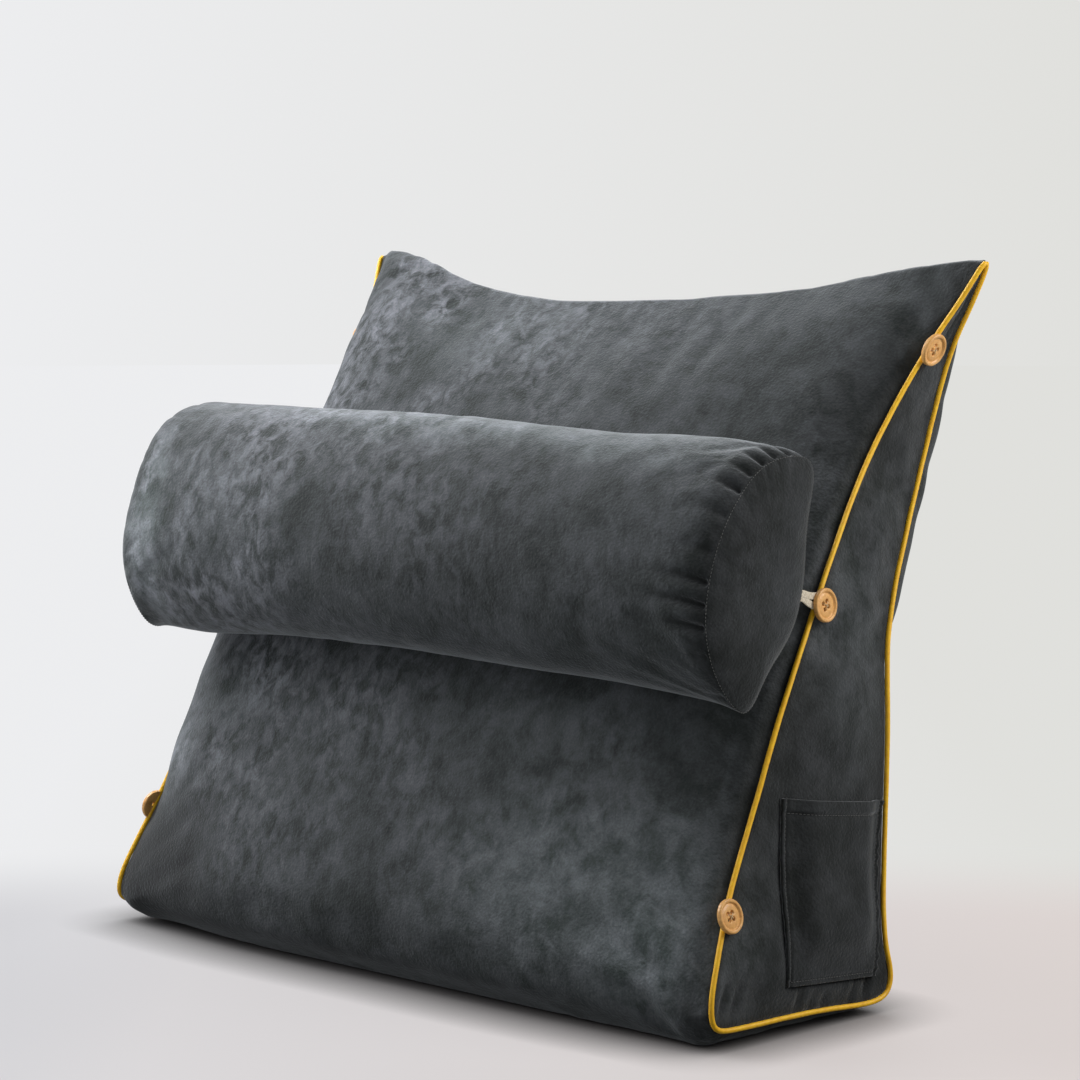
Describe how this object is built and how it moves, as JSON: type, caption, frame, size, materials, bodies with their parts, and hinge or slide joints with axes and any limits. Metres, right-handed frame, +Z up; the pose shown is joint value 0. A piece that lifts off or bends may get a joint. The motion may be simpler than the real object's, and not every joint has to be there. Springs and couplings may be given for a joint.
{
  "type": "wedge pillow",
  "caption": "Wedge back-rest cushion with piped side panels, a side pocket and a loose neck roll held across its sloping face by elastic loops on buttons.",
  "frame": {"origin": "on the floor under the middle of the cushion's box, as it stands on its base", "axes": "+Z up, the sloping face towards -Y, the width along X with the pocket on the +X side panel"},
  "size_m": [0.6137, 0.3018, 0.5038],
  "materials": {
    "suede_cloth": "charcoal brushed suede cloth with a short nap and a faint sheen",
    "piping_cloth": "golden yellow woven piping, slightly satin",
    "elastic_tape": "cream ribbed elastic",
    "button_wood": "light natural wood, smooth and lightly waxed"
  },
  "bodies": {
    "root": {"wedge_cushion": "suede_cloth", "neck_roll": "suede_cloth", "pocket": "suede_cloth", "piping_right": "piping_cloth", "piping_left": "piping_cloth", "elastic_loop_right": "elastic_tape", "elastic_loop_left": "elastic_tape", "button_right_top": "button_wood", "button_right_middle": "button_wood", "button_right_bottom": "button_wood", "button_left_top": "button_wood", "button_left_middle": "button_wood", "button_left_bottom": "button_wood"}
  },
  "joints": []
}
